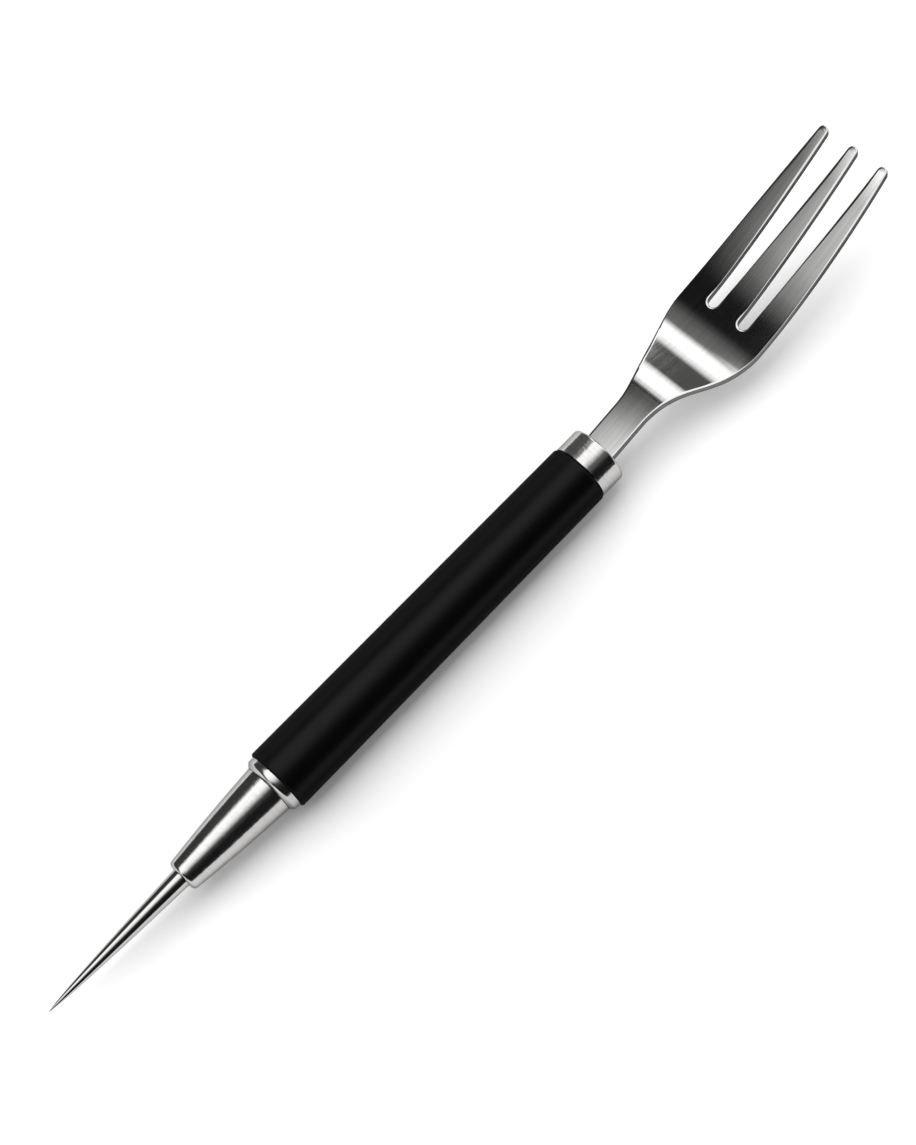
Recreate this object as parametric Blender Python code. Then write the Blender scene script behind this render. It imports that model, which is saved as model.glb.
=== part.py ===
"""Double-ended hand tool: a three-tined fork and a needle pick on one round grip.

The handle's axis runs along X, the needle points to -X, the fork to +X, and the fork's hollow side faces up.
The origin is the middle of the overall box, on the surface that the grip lies on.
Stations along the handle are measured from the nose end of the grip, heights from the handle's axis.
"""
import math

import bmesh
import bpy
from mathutils import Matrix, Vector

MM = 0.001

# Clearances
FIT_GAP = 0.1 * MM  # between pieces that are pressed, screwed or slid together
SEAT_GAP = 0.2 * MM  # the joint line between the shoulder ring and the grip

# Grip sleeve and the tube that carries it
GRIP_LENGTH = 72.4 * MM
GRIP_NOSE_D = 12.0 * MM
GRIP_FORK_D = 11.4 * MM
GRIP_WALL = 0.9 * MM  # at its thinner end
GRIP_NOSE_EDGE = 0.4 * MM
GRIP_FORK_EDGE = 0.7 * MM
GRIP_FLAT = 1.6 * MM  # width, at the thinner end, of the flat that the tool lies on
TUBE_WALL = 0.4 * MM

# Nose: seal, threaded insert, cone with shoulder ring and spigot
SEAL_THICKNESS = 1.2 * MM
INSERT_SETBACK = 0.4 * MM  # from the tube's end
INSERT_LENGTH = 12.0 * MM
INSERT_WALL = 0.6 * MM
THREAD_PITCH = 1.0 * MM
THREAD_DEPTH = 0.6 * MM
SPIGOT_LENGTH = 12.0 * MM
UNDERCUT_LENGTH = 2.0 * MM  # plain length behind the shoulder, before the thread
RING_D = 11.0 * MM
RING_BAND = 1.05 * MM
RING_BEVEL = 0.6 * MM  # sloped front of the shoulder ring, along the axis
CONE_LENGTH = 20.25 * MM
CONE_ROOT_D = 9.4 * MM
CONE_TIP_D = 5.9 * MM
CONE_BARREL = 0.15 * MM  # how far the cone's side bows out at its middle
CONE_EDGE = 0.5 * MM

# Needle and the grub screw behind it
NEEDLE_LENGTH = 30.2 * MM  # bare length in front of the cone
NEEDLE_D = 3.4 * MM
NEEDLE_TIP_D = 0.12 * MM
NEEDLE_TAPER = 0.62  # power of the ground taper, 1 is a straight cone
NEEDLE_SHANK = 16.0 * MM  # length held in the cone
NEEDLE_HEAD_D = 4.0 * MM
NEEDLE_HEAD = 1.6 * MM
LOCK_SCREW_D = 4.0 * MM
LOCK_SCREW_LENGTH = 5.0 * MM
LOCK_SOCKET = 2.0 * MM  # across flats
LOCK_SOCKET_DEPTH = 2.4 * MM
LOCK_SCREW_EDGE = 0.3 * MM

# Collar at the fork, with the spigot that goes into the tube
COLLAR_D = 11.0 * MM
COLLAR_LENGTH = 4.8 * MM
COLLAR_EDGE = 0.45 * MM
COLLAR_SPIGOT = 12.0 * MM
PIN_D = 2.0 * MM
PIN_SETBACK = 6.0 * MM  # from the collar's shoulder back to the pin
PIN_EDGE = 0.2 * MM

# Fork: one sheet, measured from the collar's front face
SHEET = 1.25 * MM
SHEET_EDGE = 0.2 * MM
TANG_LENGTH = 16.0 * MM
NECK_WIDTH = 6.06 * MM
HEAD_WIDTH = 18.36 * MM
TIP_SPAN = 14.8 * MM  # across the outer tines at their tips
FORK_REACH = 65.6 * MM  # collar to tine tips
SHOULDER_START = 8.2 * MM
SHOULDER_END = 29.4 * MM
SLOT_START = 31.4 * MM
MIDDLE_TINE_ROOT = 4.66 * MM
OUTER_TINE_ROOT = 4.48 * MM
TINE_TIP = 1.6 * MM
MIDDLE_TINE_TAPER = 1.27  # power by which the tine narrows, 1 is straight
OUTER_TINE_TAPER = 1.62

# Side view of the fork: the middle of the sheet above the handle's axis, and its slope there
NECK_HEIGHT = 0.95 * MM
RISE_STATION = 2.7 * MM
RISE_HEIGHT = 1.23 * MM
RISE_SLOPE = 0.15
CREST_STATION = 14.0 * MM
CREST_HEIGHT = 3.08 * MM
DIP_STATION = 26.0 * MM
DIP_HEIGHT = 1.1 * MM
BEND_STATION = 34.7 * MM
BEND_HEIGHT = 2.4 * MM
BEND_SLOPE = 0.235
TIP_HEIGHT = 12.58 * MM
TIP_SLOPE = 0.385

# Facets
HANDLE_SIDES = 48
NOSE_SIDES = 32
SMALL_SIDES = 24
HEX_SIDES = 6
EDGE_STEPS = 3
TIP_STEPS = 8
TAPER_STEPS = 14
THREAD_ROWS = 4  # rows of points in one pitch
SHEET_STEP = 2.0 * MM  # length of one flat along the bent sheet
SMOOTH_ANGLE = math.radians(35)
MERGE = 1e-7

# Stations that follow from the sizes above
SEAT = -SEAT_GAP
SEAL_START = SEAT + FIT_GAP
TUBE_START = SEAL_START + SEAL_THICKNESS + FIT_GAP
INSERT_START = TUBE_START + INSERT_SETBACK
RING_FRONT = SEAT - RING_BAND - RING_BEVEL
CONE_FRONT = RING_FRONT - CONE_LENGTH
NEEDLE_POINT = CONE_FRONT - NEEDLE_LENGTH
HEAD_SEAT = CONE_FRONT + NEEDLE_SHANK
HEAD_BACK = HEAD_SEAT + FIT_GAP + NEEDLE_HEAD
SPIGOT_END = SEAT + SPIGOT_LENGTH
COLLAR_BACK = GRIP_LENGTH + FIT_GAP
COLLAR_FRONT = COLLAR_BACK + COLLAR_LENGTH
PIN_STATION = COLLAR_BACK - PIN_SETBACK
FORK_TIP = COLLAR_FRONT + FORK_REACH

# Radii that follow from them, from the grip inwards
SLEEVE_BORE_R = min(GRIP_NOSE_D, GRIP_FORK_D) / 2 - GRIP_WALL
TUBE_R = SLEEVE_BORE_R - FIT_GAP
TUBE_BORE_R = TUBE_R - TUBE_WALL
SPIGOT_R = TUBE_BORE_R - FIT_GAP  # of what goes into the tube
INSERT_BORE_R = SPIGOT_R - INSERT_WALL
THREAD_R = INSERT_BORE_R - FIT_GAP
THREAD_ROOT_R = THREAD_R - THREAD_DEPTH
TAPPED_BORE_R = max(LOCK_SCREW_D, NEEDLE_HEAD_D) / 2 + FIT_GAP

AXIS_HEIGHT = math.sqrt(min(GRIP_NOSE_D, GRIP_FORK_D) ** 2 - GRIP_FLAT ** 2) / 2
SEAT_X = -(NEEDLE_POINT + FORK_TIP) / 2


def clear_scene():
    """Start from an empty scene."""
    for old in list(bpy.data.objects):
        bpy.data.objects.remove(old, do_unlink=True)


def finish(name, colour, roughness, metallic):
    """A material of one colour for one piece."""
    material = bpy.data.materials.new(name)
    material.use_nodes = True
    shader = material.node_tree.nodes["Principled BSDF"]
    shader.inputs["Base Color"].default_value = (*colour, 1.0)
    shader.inputs["Roughness"].default_value = roughness
    shader.inputs["Metallic"].default_value = metallic
    return material


def axis_empty(name, location, parent=None):
    """An empty that places the pieces turned about one axis."""
    empty = bpy.data.objects.new(name, None)
    empty.location = location
    empty.parent = parent
    bpy.context.collection.objects.link(empty)
    return empty


def add_object(name, shape, parent, material=None):
    """Turn a bmesh into a named object under its empty."""
    bmesh.ops.recalc_face_normals(shape, faces=shape.faces[:])
    if shape.calc_volume(signed=True) < 0.0:
        bmesh.ops.reverse_faces(shape, faces=shape.faces[:])
    mesh = bpy.data.meshes.new(name)
    shape.to_mesh(mesh)
    shape.free()
    mesh.shade_smooth()
    mesh.set_sharp_from_angle(angle=SMOOTH_ANGLE)
    if material:
        mesh.materials.append(material)
    piece = bpy.data.objects.new(name, mesh)
    piece.parent = parent
    bpy.context.collection.objects.link(piece)
    return piece


def cut(piece, cutter):
    """Cut one body out of a piece, and keep the cutter as a wire guide."""
    cutter.hide_render = True
    cutter.display_type = "WIRE"
    modifier = piece.modifiers.new(cutter.name, "BOOLEAN")
    modifier.operation = "DIFFERENCE"
    modifier.solver = "EXACT"
    modifier.object = cutter


def corner(station, radius, rounding, start, end):
    """Points of a quarter round in a turned profile, about its own centre."""
    points = []
    for step in range(EDGE_STEPS + 1):
        angle = math.radians(start + (end - start) * step / EDGE_STEPS)
        points.append((station + rounding * math.cos(angle), radius + rounding * math.sin(angle)))
    return points


def turned(profile, sides, closed):
    """Spin a profile of (station, radius) about the handle's axis, with a flat at the bottom."""
    shape = bmesh.new()
    tilt = -math.pi / 2 + math.pi / sides
    verts = []
    for station, radius in profile:
        verts.append(shape.verts.new((station, radius * math.cos(tilt), radius * math.sin(tilt))))
    edges = [shape.edges.new(pair) for pair in zip(verts, verts[1:])]
    if closed:
        edges.append(shape.edges.new((verts[-1], verts[0])))
    bmesh.ops.spin(shape, geom=verts + edges, cent=(0, 0, 0), axis=(1, 0, 0), dvec=(0, 0, 0),
                   angle=2 * math.pi, steps=sides, use_merge=True, use_duplicate=False)
    bmesh.ops.remove_doubles(shape, verts=shape.verts[:], dist=MERGE)
    return shape


def box_body(low, high):
    """A box between two corners."""
    shape = bmesh.new()
    centre = (Vector(low) + Vector(high)) / 2
    size = Vector(high) - Vector(low)
    place = Matrix.Translation(centre) @ Matrix.Diagonal((*size, 1.0))
    bmesh.ops.create_cube(shape, size=1.0, matrix=place)
    return shape


def prism_body(sides, radius, length, place):
    """A straight prism about its own Z, centred where it is placed."""
    shape = bmesh.new()
    bmesh.ops.create_cone(shape, cap_ends=True, segments=sides, radius1=radius, radius2=radius,
                          depth=length, matrix=place)
    return shape


def make_grip_sleeve(parent):
    nose_edge = min(GRIP_NOSE_EDGE, GRIP_WALL - FIT_GAP)
    fork_edge = min(GRIP_FORK_EDGE, GRIP_WALL - FIT_GAP)
    profile = [(0.0, SLEEVE_BORE_R)]
    profile += corner(nose_edge, GRIP_NOSE_D / 2 - nose_edge, nose_edge, 180, 90)
    profile += corner(GRIP_LENGTH - fork_edge, GRIP_FORK_D / 2 - fork_edge, fork_edge, 90, 0)
    profile += [(GRIP_LENGTH, SLEEVE_BORE_R)]
    shape = turned(profile, HANDLE_SIDES, closed=True)
    sleeve = add_object("grip_sleeve", shape, parent, finish("black_grip", (0.012, 0.012, 0.013), 0.55, 0.0))
    low = (-GRIP_LENGTH, -GRIP_NOSE_D, -GRIP_NOSE_D)
    high = (2 * GRIP_LENGTH, GRIP_NOSE_D, -AXIS_HEIGHT)
    cut(sleeve, add_object("grip_flat_cutter", box_body(low, high), parent))


def make_core_tube(parent):
    profile = [(TUBE_START, TUBE_BORE_R), (TUBE_START, TUBE_R),
               (GRIP_LENGTH, TUBE_R), (GRIP_LENGTH, TUBE_BORE_R)]
    shape = turned(profile, HANDLE_SIDES, closed=True)
    add_object("core_tube", shape, parent, finish("tube_steel", (0.52, 0.52, 0.53), 0.4, 1.0))


def make_nose_insert(parent):
    end = INSERT_START + INSERT_LENGTH
    profile = [(INSERT_START, INSERT_BORE_R), (INSERT_START, SPIGOT_R), (end, SPIGOT_R), (end, INSERT_BORE_R)]
    shape = turned(profile, HANDLE_SIDES, closed=True)
    add_object("nose_insert", shape, parent, finish("insert_brass", (0.71, 0.52, 0.24), 0.35, 1.0))


def make_nose_seal(parent):
    end = SEAL_START + SEAL_THICKNESS
    profile = [(SEAL_START, INSERT_BORE_R), (SEAL_START, TUBE_R), (end, TUBE_R), (end, INSERT_BORE_R)]
    shape = turned(profile, HANDLE_SIDES, closed=True)
    add_object("nose_seal", shape, parent, finish("seal_rubber", (0.015, 0.015, 0.015), 0.8, 0.0))


def cone_side():
    """The cone's bowed side, from its front edge back to the shoulder ring."""
    front = CONE_FRONT + CONE_EDGE
    points = []
    for step in range(TAPER_STEPS + 1):
        share = step / TAPER_STEPS
        straight = CONE_TIP_D + (CONE_ROOT_D - CONE_TIP_D) * share
        bow = CONE_BARREL * math.sin(math.pi * share)
        points.append((front + (RING_FRONT - front) * share, straight / 2 + bow))
    return points


def thread_height(station, turn):
    """Height of the right-hand thread over its root, which runs out at both ends."""
    wave = (station / THREAD_PITCH - turn) % 1.0
    ridge = 1.0 - abs(2.0 * wave - 1.0)
    start = SEAT + UNDERCUT_LENGTH
    run_out = min(station - start, SPIGOT_END - station) / THREAD_PITCH
    return THREAD_DEPTH * ridge * max(0.0, min(1.0, run_out))


def cut_thread(shape):
    """Raise the thread on the spigot's rows of points."""
    start = SEAT + UNDERCUT_LENGTH
    for vert in shape.verts:
        radius = math.hypot(vert.co.y, vert.co.z)
        if vert.co.x < start or radius < THREAD_ROOT_R - MERGE:
            continue
        turn = math.atan2(vert.co.z, vert.co.y) / (2 * math.pi)
        stretch = 1.0 + thread_height(vert.co.x, turn) / radius
        vert.co.y *= stretch
        vert.co.z *= stretch


def make_nose_cone(parent):
    bore = NEEDLE_D / 2 + FIT_GAP
    thread_start = SEAT + UNDERCUT_LENGTH
    rows = round((SPIGOT_END - thread_start) / THREAD_PITCH * THREAD_ROWS)
    profile = [(CONE_FRONT, bore)]
    profile += corner(CONE_FRONT + CONE_EDGE, CONE_TIP_D / 2 - CONE_EDGE, CONE_EDGE, 180, 90)
    profile += cone_side()[1:]
    profile += [(RING_FRONT + RING_BEVEL, RING_D / 2), (SEAT, RING_D / 2), (SEAT, THREAD_ROOT_R)]
    for row in range(rows + 1):
        profile.append((thread_start + (SPIGOT_END - thread_start) * row / rows, THREAD_ROOT_R))
    profile += [(SPIGOT_END, TAPPED_BORE_R), (HEAD_SEAT, TAPPED_BORE_R), (HEAD_SEAT, bore)]
    shape = turned(profile, NOSE_SIDES, closed=True)
    cut_thread(shape)
    add_object("nose_cone", shape, parent, finish("nose_steel", (0.56, 0.56, 0.57), 0.22, 1.0))


def make_needle(parent):
    radius = NEEDLE_D / 2
    profile = [(NEEDLE_POINT, 0.0)]
    for step in range(TAPER_STEPS + 1):
        share = (step / TAPER_STEPS) ** 2
        taper = max(NEEDLE_TIP_D / 2, radius * share ** NEEDLE_TAPER)
        profile.append((NEEDLE_POINT + NEEDLE_LENGTH * share, taper))
    profile += [(HEAD_SEAT + FIT_GAP, radius), (HEAD_SEAT + FIT_GAP, NEEDLE_HEAD_D / 2),
                (HEAD_BACK, NEEDLE_HEAD_D / 2), (HEAD_BACK, 0.0)]
    shape = turned(profile, SMALL_SIDES, closed=False)
    add_object("needle", shape, parent, finish("needle_steel", (0.6, 0.6, 0.61), 0.12, 1.0))


def make_needle_lock_screw(parent):
    radius = LOCK_SCREW_D / 2
    front = HEAD_BACK + FIT_GAP
    back = front + LOCK_SCREW_LENGTH
    profile = [(front, 0.0), (front, radius - LOCK_SCREW_EDGE), (front + LOCK_SCREW_EDGE, radius),
               (back - LOCK_SCREW_EDGE, radius), (back, radius - LOCK_SCREW_EDGE), (back, 0.0)]
    shape = turned(profile, SMALL_SIDES, closed=False)
    screw = add_object("needle_lock_screw", shape, parent, finish("screw_steel", (0.2, 0.2, 0.21), 0.45, 1.0))
    place = Matrix.Translation((back, 0, 0)) @ Matrix.Rotation(math.pi / 2, 4, "Y")
    corner_radius = LOCK_SOCKET / 2 / math.cos(math.pi / HEX_SIDES)
    socket = prism_body(HEX_SIDES, corner_radius, 2 * LOCK_SOCKET_DEPTH, place)
    cut(screw, add_object("lock_socket_cutter", socket, parent))


def make_fork_collar(parent):
    radius = COLLAR_D / 2
    back = COLLAR_BACK - COLLAR_SPIGOT
    profile = [(back, 0.0), (back, SPIGOT_R), (COLLAR_BACK, SPIGOT_R), (COLLAR_BACK, radius)]
    profile += corner(COLLAR_FRONT - COLLAR_EDGE, radius - COLLAR_EDGE, COLLAR_EDGE, 90, 0)
    profile += [(COLLAR_FRONT, 0.0)]
    shape = turned(profile, HANDLE_SIDES, closed=False)
    collar = add_object("fork_collar", shape, parent, finish("collar_steel", (0.56, 0.56, 0.57), 0.22, 1.0))
    side = NECK_WIDTH / 2 + FIT_GAP
    half_slot = SHEET / 2 + FIT_GAP
    low = (back - COLLAR_LENGTH, -side, NECK_HEIGHT - half_slot)
    high = (COLLAR_FRONT + COLLAR_LENGTH, side, NECK_HEIGHT + half_slot)
    cut(collar, add_object("tang_slot_cutter", box_body(low, high), parent))
    place = Matrix.Translation((PIN_STATION, 0, 0))
    hole = prism_body(SMALL_SIDES, PIN_D / 2 + FIT_GAP, COLLAR_D, place)
    cut(collar, add_object("collar_pin_hole_cutter", hole, parent))


def make_tang_pin(parent):
    half = math.sqrt(SPIGOT_R ** 2 - (PIN_D / 2) ** 2) - FIT_GAP
    shape = prism_body(SMALL_SIDES, PIN_D / 2, 2 * half, Matrix.Translation((PIN_STATION, 0, 0)))
    rims = [edge for edge in shape.edges if abs(edge.verts[0].co.z - edge.verts[1].co.z) < MERGE]
    bmesh.ops.bevel(shape, geom=rims, offset=PIN_EDGE, segments=1, affect="EDGES", profile=0.5)
    add_object("tang_pin", shape, parent, finish("pin_steel", (0.4, 0.4, 0.41), 0.3, 1.0))


def smooth(share):
    """An even S from 0 to 1."""
    share = max(0.0, min(1.0, share))
    return share * share * (3.0 - 2.0 * share)


def outer_edge(reach):
    """Half the fork's width at a reach from the collar."""
    if reach < SHOULDER_END:
        share = smooth((reach - SHOULDER_START) / (SHOULDER_END - SHOULDER_START))
        return (NECK_WIDTH + (HEAD_WIDTH - NECK_WIDTH) * share) / 2
    share = (reach - SHOULDER_END) / (FORK_REACH - SHOULDER_END)
    return (HEAD_WIDTH + (TIP_SPAN - HEAD_WIDTH) * share ** 2) / 2


def tine_width(reach, root, taper):
    """Width of a tine, which narrows towards its tip."""
    share = max(0.0, (reach - SLOT_START) / (FORK_REACH - SLOT_START))
    return root + (TINE_TIP - root) * share ** taper


def middle_edge(reach):
    """Half the width of the middle tine."""
    return tine_width(reach, MIDDLE_TINE_ROOT, MIDDLE_TINE_TAPER) / 2


def inner_edge(reach):
    """Inner edge of an outer tine."""
    return outer_edge(reach) - tine_width(reach, OUTER_TINE_ROOT, OUTER_TINE_TAPER)


def along(edge, start, end):
    """Points of one edge between two reaches, one for each flat of the sheet."""
    steps = max(2, round(abs(end - start) / SHEET_STEP))
    points = []
    for step in range(steps + 1):
        reach = start + (end - start) * step / steps
        points.append((reach, edge(reach)))
    return points


def half_round(centre, middle, radius, forward):
    """Points of a half round at a tine's tip or a slot's root, without its two ends."""
    points = []
    for step in range(1, TIP_STEPS):
        angle = math.pi * (0.5 - step / TIP_STEPS)
        points.append((centre + forward * radius * math.cos(angle), middle + radius * math.sin(angle)))
    return points


def fork_outline():
    """The flat outline of half the fork, from the tang round one outer tine to the middle tine's tip."""
    tip = FORK_REACH - TINE_TIP / 2
    root_radius = (inner_edge(SLOT_START) - middle_edge(SLOT_START)) / 2
    root = SLOT_START + root_radius
    half_tip = (outer_edge(tip) - inner_edge(tip)) / 2
    half_root = (inner_edge(root) - middle_edge(root)) / 2
    points = [(-TANG_LENGTH, NECK_WIDTH / 2)]
    points += along(outer_edge, 0.0, tip)
    points += half_round(tip, (outer_edge(tip) + inner_edge(tip)) / 2, half_tip, 1)
    points += along(inner_edge, tip, root)
    points += half_round(root, (inner_edge(root) + middle_edge(root)) / 2, half_root, -1)
    points += along(middle_edge, root, tip)
    points += half_round(tip, 0.0, middle_edge(tip), 1)[:TIP_STEPS // 2]
    return points


def sheet_height(reach):
    """Height of the middle of the sheet above the handle's axis, by a cubic between the stations."""
    stations = [(0.0, NECK_HEIGHT, 0.0), (RISE_STATION, RISE_HEIGHT, RISE_SLOPE),
                (CREST_STATION, CREST_HEIGHT, 0.0), (DIP_STATION, DIP_HEIGHT, 0.0),
                (BEND_STATION, BEND_HEIGHT, BEND_SLOPE), (FORK_REACH, TIP_HEIGHT, TIP_SLOPE)]
    if reach <= 0.0:
        return NECK_HEIGHT
    for (start, low, slope_in), (end, high, slope_out) in zip(stations, stations[1:]):
        if reach <= end:
            break
    span = end - start
    share = (reach - start) / span
    bend_in = share * (1.0 - share) ** 2 * slope_in * span
    bend_out = share ** 2 * (share - 1.0) * slope_out * span
    return low + (high - low) * smooth(share) + bend_in + bend_out


def make_fork(parent):
    half = fork_outline()
    outline = half + [(reach, -side) for reach, side in reversed(half[:-1])]
    shape = bmesh.new()
    verts = [shape.verts.new((reach, side, -SHEET / 2)) for reach, side in outline]
    face = shape.faces.new(verts)
    lifted = bmesh.ops.extrude_face_region(shape, geom=[face])["geom"]
    top = [item for item in lifted if isinstance(item, bmesh.types.BMVert)]
    bmesh.ops.translate(shape, verts=top, vec=(0, 0, SHEET))
    rims = [edge for edge in shape.edges if abs(edge.verts[0].co.z - edge.verts[1].co.z) < MERGE]
    bmesh.ops.bevel(shape, geom=rims, offset=SHEET_EDGE, segments=1, affect="EDGES", profile=0.5)
    for step in range(math.ceil(FORK_REACH / SHEET_STEP)):
        bmesh.ops.bisect_plane(shape, geom=shape.verts[:] + shape.edges[:] + shape.faces[:], dist=MERGE,
                               plane_co=(step * SHEET_STEP, 0, 0), plane_no=(1, 0, 0))
    for vert in shape.verts:
        vert.co.z += sheet_height(vert.co.x)
        vert.co.x += COLLAR_FRONT
    bmesh.ops.triangulate(shape, faces=shape.faces[:])
    fork = add_object("fork", shape, parent, finish("fork_steel", (0.54, 0.54, 0.55), 0.28, 1.0))
    hole = prism_body(SMALL_SIDES, PIN_D / 2 + FIT_GAP, COLLAR_D, Matrix.Translation((PIN_STATION, 0, 0)))
    cut(fork, add_object("tang_pin_hole_cutter", hole, parent))


def main():
    clear_scene()
    handle = axis_empty("handle_axis", (SEAT_X, 0, AXIS_HEIGHT))
    nose = axis_empty("nose_axis", (0, 0, 0), handle)
    make_grip_sleeve(handle)
    make_core_tube(handle)
    make_nose_insert(handle)
    make_fork_collar(handle)
    make_tang_pin(handle)
    make_fork(handle)
    make_nose_seal(nose)
    make_nose_cone(nose)
    make_needle(nose)
    make_needle_lock_screw(nose)


main()
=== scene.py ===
"""Looks of a double-ended hand tool: a brushed steel fork and a ground needle on one round black grip.

The tool lies along X with the needle towards -X and the fork's hollow side up.
Stations are measured along X from the nose end of the grip, heights from the handle's axis.
"""
import math

import bmesh
import bpy
from mathutils import Matrix, Vector


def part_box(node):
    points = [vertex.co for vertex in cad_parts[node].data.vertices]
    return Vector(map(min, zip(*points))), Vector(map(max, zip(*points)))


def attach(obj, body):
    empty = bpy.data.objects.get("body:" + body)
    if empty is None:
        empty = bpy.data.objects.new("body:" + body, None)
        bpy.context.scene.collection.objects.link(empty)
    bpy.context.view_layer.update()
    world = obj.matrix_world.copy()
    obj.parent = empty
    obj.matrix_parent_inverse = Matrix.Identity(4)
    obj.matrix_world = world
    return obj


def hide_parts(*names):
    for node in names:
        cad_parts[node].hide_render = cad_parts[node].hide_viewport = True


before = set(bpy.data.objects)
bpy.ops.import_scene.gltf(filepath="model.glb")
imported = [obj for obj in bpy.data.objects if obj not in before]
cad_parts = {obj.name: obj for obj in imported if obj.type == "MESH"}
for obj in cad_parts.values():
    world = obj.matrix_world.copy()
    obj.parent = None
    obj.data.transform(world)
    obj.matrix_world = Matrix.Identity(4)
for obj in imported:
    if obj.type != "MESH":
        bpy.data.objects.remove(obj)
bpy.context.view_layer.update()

MM = 0.001
TINY = 1e-7
SAME_POINT = 1e-6
SAME_RING = 2e-6

# The handle's axis, read from the fixed frame
grip_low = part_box("grip_sleeve")[0]
tube_low, tube_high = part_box("core_tube")
SEAT_X = grip_low.x
AXIS_Z = (tube_low.z + tube_high.z) / 2

# Grip
GRIP_LENGTH = 72.4 * MM
GRIP_NOSE_R = 6.0 * MM
GRIP_FORK_R = 5.7 * MM
GRIP_NOSE_EDGE = 0.4 * MM
GRIP_FORK_EDGE = 0.5 * MM
SLEEVE_BORE_R = 4.8 * MM

# Collar
COLLAR_BACK = 72.5 * MM
COLLAR_FRONT = 77.3 * MM
COLLAR_R = 5.5 * MM
COLLAR_EDGE = 0.45 * MM
COLLAR_BACK_EDGE = 0.12 * MM
COLLAR_SPIGOT_BACK = 60.5 * MM
SPIGOT_R = 4.2 * MM
TANG_SLOT = 1.45 * MM
TANG_SLOT_WIDTH = 6.4 * MM

# Nose cone with its shoulder ring and threaded spigot
SEAT = -0.2 * MM
RING_BACK = -0.03 * MM
RECESS_R = 4.95 * MM
RING_R = 5.5 * MM
RING_BEVEL_BACK = -1.15 * MM
RING_FRONT = -1.95 * MM
RING_EDGE = 0.1 * MM
RING_SHOULDER = 0.28 * MM
RING_GROOVE = 0.1 * MM
CONE_FRONT = -22.1 * MM
CONE_ROOT_R = 4.7 * MM
CONE_TIP_R = 3.05 * MM
CONE_BARREL = 0.15 * MM
LIP_R = 2.1 * MM
LIP_LENGTH = 0.8 * MM
NEEDLE_BORE_R = 1.82 * MM
THREAD_START = 1.8 * MM
THREAD_PITCH = 1.0 * MM
THREAD_DEPTH = 0.6 * MM
THREAD_STEEPNESS = 1.15
THREAD_ROOT_R = 2.9 * MM
SPIGOT_END = 11.8 * MM
TAPPED_BORE_R = 2.1 * MM
HEAD_SEAT = -6.1 * MM

# Needle
NEEDLE_POINT = -52.3 * MM
NEEDLE_LENGTH = 30.2 * MM
NEEDLE_R = 1.8 * MM
NEEDLE_TIP_R = 0.06 * MM
NEEDLE_TAPER = 0.62
NEEDLE_HEAD_R = 2.0 * MM
NEEDLE_HEAD_BACK = -4.4 * MM
NEEDLE_HEAD_GAP = 0.1 * MM

# Seal
SEAL_START = -0.1 * MM
SEAL_END = 1.1 * MM
SEAL_R = 4.7 * MM
SEAL_BORE_R = 3.6 * MM
SEAL_EDGE = 0.25 * MM

# Fork, measured from the collar's front face
SHEET = 1.25 * MM
RIM_WIDTH = 0.42 * MM
RIM_FALL = 0.22 * MM
RIM_ZONE = 1.3 * RIM_WIDTH
TANG_LENGTH = 16.0 * MM
NECK_WIDTH = 6.2 * MM
HEAD_WIDTH = 18.6 * MM
TIP_SPAN = 15.1 * MM
FORK_REACH = 65.8 * MM
SHOULDER_START = 7.8 * MM
SHOULDER_END = 30.0 * MM
SLOT_START = 31.6 * MM
SLOT_EASE = 2.5 * MM
MIDDLE_TINE_ROOT = 4.9 * MM
OUTER_TINE_ROOT = 4.78 * MM
TINE_TIP = 1.9 * MM
MIDDLE_TINE_TAPER = 1.27
OUTER_TINE_TAPER = 1.62
# Painted shade on the fork's upright sides: the length over which it deepens past the slots' start, its level
# at the roots, and its level towards the tips
SIDE_SHADE_LENGTH = 14.0 * MM
SIDE_SHADE_AT_ROOT = 0.42
SIDE_SHADE_AT_TIPS = 0.2
NECK_CREASE = 12.6 * MM
CREASE_WIDTH = 1.0 * MM

# How much wider or narrower than usual the rounded rims are along the fork (reach, factor)
RIM_FACTORS = (
    (10.0 * MM, 1.0),
    (15.0 * MM, 1.35),
    (21.0 * MM, 1.35),
    (24.0 * MM, 1.0),
    (29.0 * MM, 0.5),
    (36.0 * MM, 0.45),
    (46.0 * MM, 0.8),
    (56.0 * MM, 1.3),
    (62.0 * MM, 1.3),
    (64.2 * MM, 1.0),
)

# Side view of the fork: the sheet leaves the collar at this height, then rises or falls at
# these slopes (reach, slope), which blend softly up to the tines and evenly along them
TANG_HEIGHT = 0.95 * MM
TINE_BEND = 31.4 * MM
SHEET_SLOPES = (
    (0.0 * MM, 0.159),
    (5.0 * MM, 0.166),
    (10.0 * MM, 0.166),
    (12.2 * MM, 0.157),
    (12.95 * MM, 0.008),
    (14.4 * MM, -0.04),
    (15.8 * MM, -0.19),
    (18.9 * MM, -0.335),
    (22.3 * MM, -0.178),
    (24.2 * MM, 0.008),
    (26.2 * MM, 0.098),
    (TINE_BEND, 0.178),
    (36.0 * MM, 0.23),
    (40.0 * MM, 0.277),
    (46.0 * MM, 0.312),
    (56.0 * MM, 0.358),
    (59.0 * MM, 0.3705),
    (63.0 * MM, 0.402),
    (FORK_REACH, 0.43),
)

# Fineness of the meshes
AROUND = 144
ROW = 0.4 * MM
OUTLINE_STEP = 0.8 * MM
ROUND_STEPS = 20
TAPER_STEPS = 40
LIP_STEPS = 12
THREAD_ROWS = 12
CORNER_SEGMENTS = 5
RIM_SEGMENTS = 8
SMOOTH_ANGLE = math.radians(40)


def deselect_all():
    bpy.ops.object.select_all(action="DESELECT")


def take(piece):
    """Select one piece alone and make it the active one."""
    deselect_all()
    piece.select_set(True)
    bpy.context.view_layer.objects.active = piece


def apply_place():
    """Put the place, turn and size of the active piece into its mesh."""
    bpy.ops.object.transform_apply(location=True, rotation=True, scale=True)


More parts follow.
